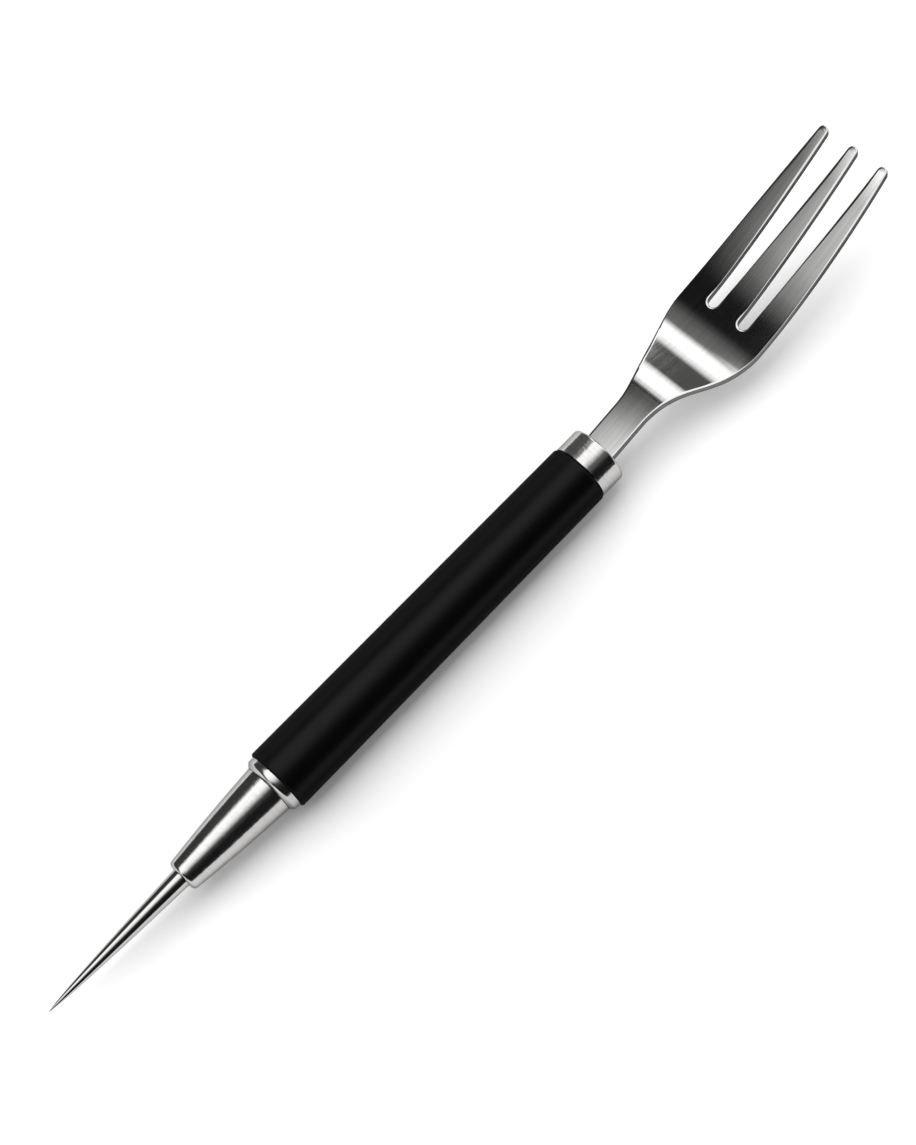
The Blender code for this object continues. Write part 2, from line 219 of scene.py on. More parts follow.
def open_edit(piece):
    """Go into edit mode on one piece, with all of it selected."""
    take(piece)
    bpy.ops.object.mode_set(mode="EDIT")
    bpy.ops.mesh.select_mode(type="VERT")
    bpy.ops.mesh.select_all(action="SELECT")


def close_edit():
    bpy.ops.object.mode_set(mode="OBJECT")


def pick_edges(piece, wanted):
    """Select the edges that satisfy a rule."""
    bpy.ops.mesh.select_mode(type="EDGE")
    bpy.ops.mesh.select_all(action="DESELECT")
    shape = bmesh.from_edit_mesh(piece.data)
    for edge in shape.edges:
        if wanted(edge):
            edge.select_set(True)
    bmesh.update_edit_mesh(piece.data)


def apply_modifiers(piece):
    take(piece)
    for modifier in list(piece.modifiers):
        bpy.ops.object.modifier_apply(modifier=modifier.name)


def settle(piece):
    """Smooth shading with even flats, and the piece's place in its mesh."""
    take(piece)
    apply_place()
    bpy.ops.object.shade_smooth_by_angle(angle=SMOOTH_ANGLE)
    weighted = piece.modifiers.new("even_flats", "WEIGHTED_NORMAL")
    weighted.keep_sharp = True
    apply_modifiers(piece)


def radius_at(vert):
    """Distance of a point from the handle's axis."""
    return math.hypot(vert.co.y, vert.co.z - AXIS_Z)


def draw_line(name, points):
    """Start a piece as a single point and draw it on along a line, point by point."""
    deselect_all()
    bpy.ops.mesh.primitive_plane_add(size=MM, location=points[0])
    piece = bpy.context.object
    piece.name = name
    apply_place()
    open_edit(piece)
    bpy.ops.mesh.merge(type="CENTER")
    for here, there in zip(points, points[1:]):
        step = [end - start for start, end in zip(here, there)]
        bpy.ops.mesh.extrude_region_move(TRANSFORM_OT_translate={"value": step})
    bpy.ops.mesh.select_all(action="SELECT")
    return piece


def turn_profile():
    """Spin the drawn profile about the handle's axis and close it."""
    bpy.ops.mesh.spin(steps=AROUND, angle=2 * math.pi, center=(SEAT_X, 0, AXIS_Z), axis=(1, 0, 0))
    bpy.ops.mesh.select_all(action="SELECT")
    bpy.ops.mesh.remove_doubles(threshold=SAME_POINT)
    bpy.ops.mesh.normals_make_consistent(inside=False)


def round_ring(piece, station, radius, width):
    """Round one turned corner, found by its station and radius."""
    def on_ring(edge):
        for vert in edge.verts:
            if abs(vert.co.x - SEAT_X - station) > SAME_RING:
                return False
            if abs(radius_at(vert) - radius) > SAME_RING:
                return False
        return True
    pick_edges(piece, on_ring)
    bpy.ops.mesh.bevel(offset=width, segments=CORNER_SEGMENTS, affect="EDGES")


def turned_piece(name, profile, corners):
    """A turned piece from its profile (station, radius) and its rounded corners (station, radius, width)."""
    piece = draw_line(name, [(SEAT_X + station, 0, AXIS_Z + radius) for station, radius in profile])
    turn_profile()
    for station, radius, width in corners:
        round_ring(piece, station, radius, width)
    close_edit()
    return piece


def make_grip():
    """The black sleeve, slightly thinner at the fork's end, with its flat underneath."""
    profile = [(0.0, SLEEVE_BORE_R), (0.0, GRIP_NOSE_R), (GRIP_LENGTH, GRIP_FORK_R),
               (GRIP_LENGTH, SLEEVE_BORE_R), (0.0, SLEEVE_BORE_R)]
    corners = [(0.0, GRIP_NOSE_R, GRIP_NOSE_EDGE), (GRIP_LENGTH, GRIP_FORK_R, GRIP_FORK_EDGE)]
    grip = turned_piece("grip", profile, corners)
    cut_underside(grip)
    settle(grip)
    return grip


def cut_underside(grip):
    """Cut the narrow flat that the grip lies on, and close it."""
    open_edit(grip)
    bpy.ops.mesh.bisect(plane_co=(0, 0, 0), plane_no=(0, 0, 1), clear_inner=True, use_fill=True,
                        threshold=TINY)
    close_edit()


def make_collar():
    """The turned collar round the fork's neck, with its spigot and the tang's slot."""
    profile = [(COLLAR_SPIGOT_BACK, 0.0), (COLLAR_SPIGOT_BACK, SPIGOT_R), (COLLAR_BACK, SPIGOT_R),
               (COLLAR_BACK, COLLAR_R), (COLLAR_FRONT, COLLAR_R), (COLLAR_FRONT, 0.0)]
    corners = [(COLLAR_BACK, COLLAR_R, COLLAR_BACK_EDGE), (COLLAR_FRONT, COLLAR_R, COLLAR_EDGE)]
    collar = turned_piece("collar", profile, corners)
    cut_tang_slot(collar)
    settle(collar)
    return collar


def cut_tang_slot(collar):
    """Cut the slot for the fork's tang right through the collar."""
    deselect_all()
    place = (SEAT_X + COLLAR_BACK, 0, AXIS_Z + TANG_HEIGHT)
    bpy.ops.mesh.primitive_cube_add(size=1.0, location=place)
    cutter = bpy.context.object
    cutter.scale = (2 * (COLLAR_FRONT - COLLAR_SPIGOT_BACK), TANG_SLOT_WIDTH, TANG_SLOT)
    apply_place()
    slot = collar.modifiers.new("tang_slot", "BOOLEAN")
    slot.operation = "DIFFERENCE"
    slot.solver = "EXACT"
    slot.object = cutter
    apply_modifiers(collar)
    bpy.data.objects.remove(cutter, do_unlink=True)


def cone_side():
    """The cone's rounded lip, and its bowed side from there back to the shoulder ring."""
    points = []
    for step in range(LIP_STEPS):
        angle = math.pi / 2 * step / LIP_STEPS
        reach = LIP_LENGTH * (1.0 - math.cos(angle))
        points.append((CONE_FRONT + reach, LIP_R + (CONE_TIP_R - LIP_R) * math.sin(angle)))
    side_start = CONE_FRONT + LIP_LENGTH
    for step in range(TAPER_STEPS + 1):
        share = step / TAPER_STEPS
        straight = CONE_TIP_R + (CONE_ROOT_R - CONE_TIP_R) * share
        bow = CONE_BARREL * math.sin(math.pi * share)
        points.append((side_start + (RING_FRONT - side_start) * share, straight + bow))
    return points


def thread_height(station, turn):
    """Height of the right-hand thread over its root, with a narrow flat crest and run out at both ends."""
    wave = (station / THREAD_PITCH - turn) % 1.0
    ridge = 1.0 - abs(2.0 * wave - 1.0)
    run_out = min(station - THREAD_START, SPIGOT_END - station) / THREAD_PITCH
    return THREAD_DEPTH * min(1.0, THREAD_STEEPNESS * ridge) * max(0.0, min(1.0, run_out))


def raise_thread(piece):
    """Raise the thread on the spigot's rows of points."""
    for vert in piece.data.vertices:
        station = vert.co.x - SEAT_X
        radius = radius_at(vert)
        if station < THREAD_START or radius < THREAD_ROOT_R - SAME_RING:
            continue
        turn = math.atan2(vert.co.z - AXIS_Z, vert.co.y) / (2 * math.pi)
        stretch = 1.0 + thread_height(station, turn) / radius
        vert.co.y *= stretch
        vert.co.z = AXIS_Z + (vert.co.z - AXIS_Z) * stretch


def make_nose_cone():
    """The cone with its shoulder ring, the threaded spigot and the bore for the needle."""
    rows = round((SPIGOT_END - THREAD_START) / THREAD_PITCH * THREAD_ROWS)
    profile = [(CONE_FRONT, NEEDLE_BORE_R)]
    profile += cone_side()
    profile += [(RING_FRONT + RING_GROOVE / 2, CONE_ROOT_R - RING_GROOVE),
                (RING_FRONT + RING_GROOVE, CONE_ROOT_R + RING_GROOVE / 2),
                (RING_BEVEL_BACK, RING_R), (RING_BACK, RING_R), (RING_BACK, RECESS_R),
                (SEAT, RECESS_R), (SEAT, THREAD_ROOT_R)]
    for row in range(rows + 1):
        profile.append((THREAD_START + (SPIGOT_END - THREAD_START) * row / rows, THREAD_ROOT_R))
    profile += [(SPIGOT_END, TAPPED_BORE_R), (HEAD_SEAT, TAPPED_BORE_R), (HEAD_SEAT, NEEDLE_BORE_R),
                (CONE_FRONT, NEEDLE_BORE_R)]
    corners = [(RING_BEVEL_BACK, RING_R, RING_SHOULDER), (RING_BACK, RING_R, RING_EDGE)]
    cone = turned_piece("nose_cone_turned", profile, corners)
    raise_thread(cone)
    settle(cone)
    return cone


def make_needle():
    """The ground needle, from its point to the head inside the cone."""
    profile = [(NEEDLE_POINT, 0.0)]
    for step in range(1, TAPER_STEPS + 1):
        share = (step / TAPER_STEPS) ** 2
        taper = max(NEEDLE_TIP_R, NEEDLE_R * share ** NEEDLE_TAPER)
        profile.append((NEEDLE_POINT + NEEDLE_LENGTH * share, taper))
    head = HEAD_SEAT + NEEDLE_HEAD_GAP
    profile += [(head, NEEDLE_R), (head, NEEDLE_HEAD_R), (NEEDLE_HEAD_BACK, NEEDLE_HEAD_R),
                (NEEDLE_HEAD_BACK, 0.0)]
    needle = turned_piece("needle_ground", profile, [])
    settle(needle)
    return needle


def make_seal():
    """The rounded ring between the cone's shoulder and the grip."""
    profile = [(SEAL_START, SEAL_BORE_R), (SEAL_START, SEAL_R), (SEAL_END, SEAL_R),
               (SEAL_END, SEAL_BORE_R), (SEAL_START, SEAL_BORE_R)]
    corners = [(SEAL_START, SEAL_R, SEAL_EDGE), (SEAL_END, SEAL_R, SEAL_EDGE),
               (SEAL_START, SEAL_BORE_R, SEAL_EDGE), (SEAL_END, SEAL_BORE_R, SEAL_EDGE)]
    seal = turned_piece("seal_ring", profile, corners)
    settle(seal)
    return seal


def smooth(share):
    """A share that leaves none and comes to one softly."""
    share = max(0.0, min(1.0, share))
    return share * share * (3.0 - 2.0 * share)


def outer_edge(reach):
    """Half the fork's width at a reach from the collar."""
    if reach < SHOULDER_END:
        share = smooth((reach - SHOULDER_START) / (SHOULDER_END - SHOULDER_START))
        return (NECK_WIDTH + (HEAD_WIDTH - NECK_WIDTH) * share) / 2
    share = (reach - SHOULDER_END) / (FORK_REACH - SHOULDER_END)
    return (HEAD_WIDTH + (TIP_SPAN - HEAD_WIDTH) * share ** 2) / 2


def tine_width(reach, root, taper):
    """Width of a tine at a reach, from its root's width and how fast it tapers."""
    share = max(0.0, (reach - SLOT_START) / (FORK_REACH - SLOT_START))
    return root + (TINE_TIP - root) * share ** taper


def middle_edge(reach):
    """Half the width of the middle tine."""
    return tine_width(reach, MIDDLE_TINE_ROOT, MIDDLE_TINE_TAPER) / 2


def inner_edge(reach):
    """Inner edge of an outer tine."""
    return outer_edge(reach) - tine_width(reach, OUTER_TINE_ROOT, OUTER_TINE_TAPER)


def sheet_height(reach):
    """Height of the sheet's middle above the handle's axis, summed from its slopes."""
    height = TANG_HEIGHT
    for (start, slope), (end, next_slope) in zip(SHEET_SLOPES, SHEET_SLOPES[1:]):
        share = max(0.0, min(1.0, (reach - start) / (end - start)))
        blend = share ** 2 / 2 if start >= TINE_BEND else share ** 3 - share ** 4 / 2
        height += (end - start) * (share * slope + (next_slope - slope) * blend)
    return height


def along(edge, start, end):
    """Points of one edge of the sheet between two reaches, on the rows that it is cut into."""
    first, last = sorted((start, end))
    reaches = [first]
    row = math.ceil(first / OUTLINE_STEP) * OUTLINE_STEP
    while row < last:
        if min(row - first, last - row) > ROW / 2:
            reaches.append(row)
        row += OUTLINE_STEP
    reaches.append(last)
    if start > end:
        reaches.reverse()
    return [(reach, edge(reach)) for reach in reaches]


def half_round(centre, middle, radius, forward):
    """Points of a half round at a tine's tip or a slot's root, without its two ends."""
    points = []
    for step in range(1, ROUND_STEPS):
        angle = math.pi * (0.5 - step / ROUND_STEPS)
        points.append((centre + forward * radius * math.cos(angle), middle + radius * math.sin(angle)))
    return points


def slot_root():
    """Reach at which a slot's round end passes into its straight sides."""
    return SLOT_START + (inner_edge(SLOT_START) - middle_edge(SLOT_START)) / 2


def fork_outline():
    """Half the fork's flat outline, from the tang round an outer tine to the middle tine's tip."""
    tip = FORK_REACH - TINE_TIP / 2
    root = slot_root()
    half_tip = (outer_edge(tip) - inner_edge(tip)) / 2
    half_root = (inner_edge(root) - middle_edge(root)) / 2
    points = [(-TANG_LENGTH, NECK_WIDTH / 2)]
    points += along(outer_edge, 0.0, tip)
    points += half_round(tip, (outer_edge(tip) + inner_edge(tip)) / 2, half_tip, 1)
    points += along(inner_edge, tip, root)
    points += half_round(root, (inner_edge(root) + middle_edge(root)) / 2, half_root, -1)
    points += along(middle_edge, root, tip)
    points += half_round(tip, 0.0, middle_edge(tip), 1)[:ROUND_STEPS // 2]
    return points


def draw_fork_blank():
    """Draw the flat outline, fill it and pull it up, at first too thick by the rim's shape."""
    half = fork_outline()
    outline = half + [(reach, -side) for reach, side in reversed(half[:-1])]
    thick = SHEET * RIM_WIDTH / RIM_FALL
    low = AXIS_Z - thick / 2
    fork = draw_line("fork_sheet", [(SEAT_X + COLLAR_FRONT + reach, side, low) for reach, side in outline])
    bpy.ops.mesh.edge_face_add()
    bpy.ops.mesh.extrude_region_move(TRANSFORM_OT_translate={"value": (0, 0, thick)})
    bpy.ops.mesh.select_all(action="SELECT")
    bpy.ops.mesh.normals_make_consistent(inside=False)
    return fork


def round_rims(fork):
    """Round the long edges all round the sheet, above and below."""
    def on_rim(edge):
        return abs(edge.verts[0].co.z - edge.verts[1].co.z) < TINY
    pick_edges(fork, on_rim)
    bpy.ops.mesh.bevel(offset=RIM_WIDTH, segments=RIM_SEGMENTS, affect="EDGES")


def rim_factor(reach):
    """How much wider or narrower than usual the rim is at a reach."""
    factor = 1.0
    for (start, low), (end, high) in zip(RIM_FACTORS, RIM_FACTORS[1:]):
        if reach > start:
            factor = low + (high - low) * min(1.0, (reach - start) / (end - start))
    return factor


def shape_rim(reach, side):
    """New place across the sheet of a rim's point, which keeps the edge and widens or narrows the rim."""
    edges = {outer_edge(reach): 1.0}
    past_root = reach - slot_root()
    if past_root > 0.0:
        straight = smooth(past_root / SLOT_EASE)
        edges[inner_edge(reach)] = straight
        edges[middle_edge(reach)] = straight
    edge = min(edges, key=lambda place: abs(place - abs(side)))
    inside = abs(side) - edge
    if abs(inside) > RIM_ZONE:
        return side
    factor = 1.0 + (rim_factor(reach) - 1.0) * edges[edge]
    return math.copysign(edge + inside * factor, side)


def bend_sheet(fork):
    """Cut the sheet into narrow rows, press it to its thickness and lift each row to the side view."""
    for row in range(math.ceil(FORK_REACH / ROW)):
        bpy.ops.mesh.select_all(action="SELECT")
        place = (SEAT_X + COLLAR_FRONT + row * ROW, 0, 0)
        bpy.ops.mesh.bisect(plane_co=place, plane_no=(1, 0, 0), threshold=ROW / 6)
    close_edit()
    for vert in fork.data.vertices:
        reach = vert.co.x - SEAT_X - COLLAR_FRONT
        pressed = (vert.co.z - AXIS_Z) * RIM_FALL / RIM_WIDTH
        vert.co.y = shape_rim(reach, vert.co.y)
        vert.co.z = AXIS_Z + pressed + sheet_height(reach)


def make_fork():
    """The fork, cut from sheet, rounded along its rims and bent."""
    fork = draw_fork_blank()
    round_rims(fork)
    bend_sheet(fork)
    settle(fork)
    return fork


class Nodes:
    """A node tree under making, with short ways to place and join its nodes."""

    def __init__(self, owner):
        owner.use_nodes = True
        self.nodes = owner.node_tree.nodes
        self.links = owner.node_tree.links

    def join(self, source, target):
        self.links.new(source, target)

    def maths(self, operation, *values):
        """Work with numbers and with what other nodes give."""
        node = self.nodes.new("ShaderNodeMath")
        node.operation = operation
        for socket, value in zip(node.inputs, values):
            if isinstance(value, (int, float)):
                socket.default_value = value
            else:
                self.join(value, socket)
        return node.outputs[0]

    def spread(self, source, low, high, start=0.25, end=0.75):
        """Bring a value that lies between start and end evenly between two numbers."""
        node = self.nodes.new("ShaderNodeMapRange")
        node.inputs["From Min"].default_value = start
        node.inputs["From Max"].default_value = end
        node.inputs["To Min"].default_value = low
        node.inputs["To Max"].default_value = high
        self.join(source, node.inputs["Value"])
        return node.outputs["Result"]

    def step(self, source, start, end):
        """A soft step from none at the start to one at the end."""
        node = self.nodes.new("ShaderNodeMapRange")
        node.interpolation_type = "SMOOTHSTEP"
        node.inputs["From Min"].default_value = start
        node.inputs["From Max"].default_value = end
        self.join(source, node.inputs["Value"])
        return node.outputs["Result"]

    def parts(self, vector):
        """The X, Y and Z of a vector."""
        node = self.nodes.new("ShaderNodeSeparateXYZ")
        self.join(vector, node.inputs["Vector"])
        return node.outputs

    def seen_rays(self):
        """One for a ray from the camera, a mirror or a glass, and none for the light on the object."""
        path = self.nodes.new("ShaderNodeLightPath").outputs
        either = self.maths("MAXIMUM", path["Is Camera Ray"], path["Is Glossy Ray"])
        return self.maths("MAXIMUM", either, path["Is Transmission Ray"])


class Finish(Nodes):
    """One node material under making, for a piece or the floor."""

    def __init__(self, name):
        self.material = bpy.data.materials.new(name)
        super().__init__(self.material)
        self.shader = self.nodes["Principled BSDF"]
        coordinates = self.nodes.new("ShaderNodeTexCoord").outputs
        self.place = coordinates["Object"]
        self.normal = coordinates["Normal"]

    def grain(self, scale, detail, roughness=0.5):
        """Noise whose three scales give its fineness along X, Y and Z, per metre."""
        mapping = self.nodes.new("ShaderNodeMapping")
        mapping.inputs["Scale"].default_value = scale
        self.join(self.place, mapping.inputs["Vector"])
        noise = self.nodes.new("ShaderNodeTexNoise")
        noise.inputs["Scale"].default_value = 1.0
        noise.inputs["Detail"].default_value = detail
        noise.inputs["Roughness"].default_value = roughness
        self.join(mapping.outputs["Vector"], noise.inputs["Vector"])
        return noise.outputs["Fac"]

    def mixed(self, first, second, share):
        """Mix two grains by a fixed share."""
        node = self.nodes.new("ShaderNodeMix")
        node.inputs["Factor"].default_value = share
        self.join(first, node.inputs["A"])
        self.join(second, node.inputs["B"])
        return node.outputs["Result"]

    def colour(self, source, low, high, start=0.25, end=0.75):
        """Colour the surface between two colours by a grain."""
        ramp = self.nodes.new("ShaderNodeValToRGB")
        ramp.color_ramp.elements[0].position = start
        ramp.color_ramp.elements[0].color = (*low, 1.0)
        ramp.color_ramp.elements[1].position = end
        ramp.color_ramp.elements[1].color = (*high, 1.0)
        self.join(source, ramp.inputs["Fac"])
        self.join(ramp.outputs["Color"], self.shader.inputs["Base Color"])

    def steel(self):
        """Bare metal, which reflects a little less along its edges."""
        self.shader.inputs["Metallic"].default_value = 1.0
        self.shader.inputs["Specular Tint"].default_value = (0.45, 0.45, 0.45, 1.0)

    def sides_painted_shade(self, shade_start, shade_end):
        """Paint shade on faces that stand upright, lightest before the first station and deepest from the
        second one on.
        """
        level = self.spread(self.parts(self.place)["X"], SIDE_SHADE_AT_ROOT, SIDE_SHADE_AT_TIPS, shade_start, shade_end)
        flat = self.spread(self.maths("ABSOLUTE", self.parts(self.normal)["Z"]), 0.0, 1.0, 0.05, 0.5)
        shade = self.maths("MAXIMUM", flat, level)
        darker = self.nodes.new("ShaderNodeMix")
        darker.data_type = "RGBA"
        darker.blend_type = "MULTIPLY"
        darker.inputs["Factor"].default_value = 1.0
        base = self.shader.inputs["Base Color"]
        self.join(base.links[0].from_socket, darker.inputs["A"])
        self.join(shade, darker.inputs["B"])
        self.join(darker.outputs["Result"], base)

    def rough(self, source, low, high):
        """Make the surface rougher or finer by a grain."""
        self.join(self.spread(source, low, high), self.shader.inputs["Roughness"])

    def duller_about(self, station, reach, more):
        """Roughen the surface about a station along the tool, most of all at the station itself."""
        off = self.maths("ABSOLUTE", self.maths("SUBTRACT", self.parts(self.place)["X"], station))
        extra = self.spread(off, more, 0.0, 0.0, reach)
        rough = self.shader.inputs["Roughness"]
        self.join(self.maths("ADD", rough.links[0].from_socket, extra), rough)

    def raised(self, source, depth, strength=1.0):
        """Raise the surface by a grain, to a depth in metres."""
        bump = self.nodes.new("ShaderNodeBump")
        bump.inputs["Distance"].default_value = depth
        bump.inputs["Strength"].default_value = strength
        self.join(source, bump.inputs["Height"])
        normal = self.shader.inputs["Normal"]
        if normal.links:
            self.join(normal.links[0].from_socket, bump.inputs["Normal"])
        self.join(bump.outputs["Normal"], normal)


def brushed_fork_steel():
    """Sheet steel, brushed lengthwise, its sheared sides darkened partly as their own duller steel and partly
    as painted shade that deepens along the tines, and duller at the neck's crease.
    """
    finish = Finish("brushed_fork_steel")
    finish.steel()
    streaks = finish.grain((30.0, 1900.0, 30.0), 3.0, 0.6)
    scratches = finish.grain((110.0, 4200.0, 110.0), 2.0)
    brushing = finish.mixed(streaks, scratches, 0.4)
    finish.colour(brushing, (0.413, 0.411, 0.405), (0.496, 0.493, 0.487), 0.3, 0.7)
    start = SEAT_X + COLLAR_FRONT
    # Painted shade on the upright sides, deepening along the tines
    finish.sides_painted_shade(start + SLOT_START, start + SLOT_START + SIDE_SHADE_LENGTH)
    finish.rough(brushing, 0.05, 0.085)
    finish.duller_about(start + NECK_CREASE, CREASE_WIDTH, 0.09)
    finish.raised(brushing, 0.0014 * MM)
    return finish.material


def turned_steel():
    """Turned steel, satin polished, with the lathe's fine rings left in it."""
    finish = Finish("turned_steel")
    finish.steel()
    rings = finish.grain((5200.0, 60.0, 60.0), 3.0, 0.6)
    cloud = finish.grain((700.0, 700.0, 700.0), 3.0)
    wear = finish.mixed(rings, cloud, 0.4)
    finish.colour(wear, (0.459, 0.455, 0.447), (0.556, 0.551, 0.543), 0.3, 0.7)
    finish.rough(wear, 0.11, 0.18)
    finish.raised(rings, 0.006 * MM)
    finish.raised(finish.grain((2400.0, 1600.0, 1600.0), 2.0), 0.014 * MM)
    return finish.material


def ground_needle_steel():
    """Needle steel, ground along its length and polished."""
    finish = Finish("ground_needle_steel")
    finish.steel()
    grinding = finish.grain((90.0, 4500.0, 4500.0), 2.0)
    finish.colour(grinding, (0.46, 0.457, 0.45), (0.51, 0.507, 0.50), 0.3, 0.7)
    finish.rough(grinding, 0.085, 0.125)
    finish.raised(grinding, 0.001 * MM)
    return finish.material


def black_grip():
    """Black moulded grip with a fine matt skin."""
    finish = Finish("black_grip")
    skin = finish.grain((5200.0, 5200.0, 5200.0), 2.0)
    cloud = finish.grain((220.0, 220.0, 220.0), 3.0)
    finish.colour(finish.mixed(skin, cloud, 0.5), (0.0010, 0.0010, 0.0011), (0.0022, 0.0022, 0.0023))
    grain = finish.spread(finish.mixed(skin, cloud, 0.35), 0.29, 0.34)
    edge = finish.nodes.new("ShaderNodeLayerWeight").outputs["Facing"]
    matt = finish.maths("MULTIPLY", finish.step(edge, 0.1, 0.45), 0.6)
    finish.join(finish.maths("ADD", grain, matt), finish.shader.inputs["Roughness"])
    finish.raised(skin, 0.003 * MM)
    finish.shader.inputs["Specular IOR Level"].default_value = 0.11
    return finish.material


def seal_rubber():
    """Matt black rubber."""
    finish = Finish("seal_rubber")
    skin = finish.grain((4000.0, 4000.0, 4000.0), 2.0)
    finish.colour(skin, (0.010, 0.010, 0.010), (0.018, 0.018, 0.018))
    finish.rough(skin, 0.6, 0.75)
    finish.raised(skin, 0.008 * MM)
    return finish.material


def turned_brass():
    """Turned brass of the threaded bush."""
    finish = Finish("turned_brass")
    finish.steel()
    rings = finish.grain((5000.0, 60.0, 60.0), 2.0)
    finish.colour(rings, (0.66, 0.47, 0.20), (0.74, 0.55, 0.27))
    finish.rough(rings, 0.2, 0.3)
    finish.raised(rings, 0.003 * MM)
    return finish.material


def drawn_steel(name, low, high):
    """Plain drawn steel of the pieces inside the handle, between two greys."""
    finish = Finish(name)
    finish.steel()
    drawing = finish.grain((120.0, 2500.0, 2500.0), 2.0)
    finish.colour(drawing, (low, low, low * 1.01), (high, high, high * 1.01))
    finish.rough(drawing, 0.3, 0.4)
    finish.raised(drawing, 0.003 * MM)
    return finish.material


def dress(piece, material, body, node):
    """Give a piece its finish and its body, and hide the solid that it stands for."""
    piece.data.materials.clear()
    piece.data.materials.append(material)
    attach(piece, body)
    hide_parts(node)


def dress_solid(node, material):
    """Give a solid of the frame its finish."""
    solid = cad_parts[node]
    solid.data.materials.clear()
    solid.data.materials.append(material)


def make_tool():
    """Model the six pieces that are seen, and finish the four solids inside."""
    steel = turned_steel()
    plain = drawn_steel("drawn_steel", 0.46, 0.54)
    dress(make_grip(), black_grip(), "handle", "grip_sleeve")
    dress(make_collar(), steel, "handle", "fork_collar")
    dress(make_fork(), brushed_fork_steel(), "handle", "fork")
    dress(make_nose_cone(), steel, "nose", "nose_cone")
    dress(make_needle(), ground_needle_steel(), "nose", "needle")
    dress(make_seal(), seal_rubber(), "seal", "nose_seal")
    dress_solid("core_tube", plain)
    dress_solid("tang_pin", plain)
    dress_solid("needle_lock_screw", drawn_steel("oiled_screw_steel", 0.17, 0.22))
    dress_solid("nose_insert", turned_brass())


# Studio: places measured from the middle of the floor, and levels of light
FLOOR_WIDTH = 10.0
FLOOR_WHITE = 0.8
FLOOR_MIDDLE = SEAT_X + 0.43 * GRIP_LENGTH
PANEL_HEIGHT = 200.0 * MM
PANEL_WIDTH = 8.0
PANEL_DARK = 0.015
CARD_NEAR = -0.12
CARD_HEIGHT = 0.024
CARD_LENGTH = 1.2
CARD_DARK = 0.03
LAMP_HEIGHT = 0.6
LAMP_FAR = 0.8
LAMP_NEAR = -0.1
LAMP_LENGTH = 1.6
LAMP_POWER = 9.3
WORLD_LIGHT = 0.375


def lay_floor():
    """A pale floor, which glows a little for the eye alone so that it passes into the white background; about
    the tool the glow is also painted light that lightens the tool's shadow.
    """
    deselect_all()
    bpy.ops.mesh.primitive_plane_add(size=FLOOR_WIDTH, location=(0, 0, 0))
    floor = bpy.context.object
    floor.name = "studio_floor"
    finish = Finish("white_floor")
    finish.shader.inputs["Base Color"].default_value = (FLOOR_WHITE, FLOOR_WHITE, FLOOR_WHITE, 1.0)
    finish.shader.inputs["Roughness"].default_value = 0.95
    finish.shader.inputs["Specular IOR Level"].default_value = 0.0
    finish.shader.inputs["Emission Color"].default_value = (1.0, 1.0, 1.0, 1.0)
    # Painted light: the glow is least about the tool, grows round it and more on its near side, where it
    # lightens the tool's shadow, and is full far away
    distance = finish.nodes.new("ShaderNodeVectorMath")
    distance.operation = "DISTANCE"
    distance.inputs[1].default_value = (FLOOR_MIDDLE, 0.0, 0.0)
    finish.join(finish.place, distance.inputs[0])
    shadow_lift_around = finish.spread(distance.outputs["Value"], 0.09, 0.28, 0.026, 0.085)
    shadow_lift_near_side = finish.spread(finish.parts(finish.place)["Y"], 1.0, 0.35, -0.01, 0.05)
    far_away = finish.spread(distance.outputs["Value"], 0.0, 1.0, 0.15, 0.6)
    glow = finish.maths("ADD", finish.maths("MULTIPLY", shadow_lift_around, shadow_lift_near_side), far_away)
    finish.join(finish.maths("MULTIPLY", glow, finish.seen_rays()), finish.shader.inputs["Emission Strength"])
    floor.data.materials.append(finish.material)


class Paint(Nodes):
    """Glowing studio paint, built up from soft-edged patches over an even ground."""

    def __init__(self, name, ground):
        self.material = bpy.data.materials.new(name)
        super().__init__(self.material)
        self.nodes.clear()
        self.shine = self.nodes.new("ShaderNodeEmission")
        self.shine.inputs["Strength"].default_value = ground
        out = self.nodes.new("ShaderNodeOutputMaterial")
        self.join(self.shine.outputs["Emission"], out.inputs["Surface"])
        place = self.parts(self.nodes.new("ShaderNodeTexCoord").outputs["Object"])
        self.x = place["X"]
        self.y = place["Y"]
        self.light = ground

    def slanted(self, slant, middle):
        """Y turned a little about the point of X given in millimetres."""
        offset = self.maths("SUBTRACT", self.x, middle * MM)
        return self.maths("ADD", self.y, self.maths("MULTIPLY", offset, slant))

    def fade(self, source, start, end):
        """A soft step from none at the start to one at the end, in millimetres."""
        return self.step(source, start * MM, end * MM)

    def patch(self, level, *fades):
        """Add a patch of a light level where all its soft steps meet."""
        shape = fades[0]
        for fade in fades[1:]:
            shape = self.maths("MULTIPLY", shape, fade)
        self.light = self.maths("MAXIMUM", self.light, self.maths("MULTIPLY", shape, level))
        self.join(self.light, self.shine.inputs["Strength"])


def show_in_steel_only(board):
    """Hide a studio board from everything but reflections."""
    board.visible_camera = False
    board.visible_diffuse = False
    board.visible_shadow = False


def hang_panel():
    """The painted overhead panel that the steel and the grip reflect."""
    deselect_all()
    bpy.ops.mesh.primitive_plane_add(size=PANEL_WIDTH, location=(0, 0, AXIS_Z + PANEL_HEIGHT))
    panel = bpy.context.object
    panel.name = "studio_panel"
    apply_place()
    panel.data.materials.append(panel_paint())
    show_in_steel_only(panel)


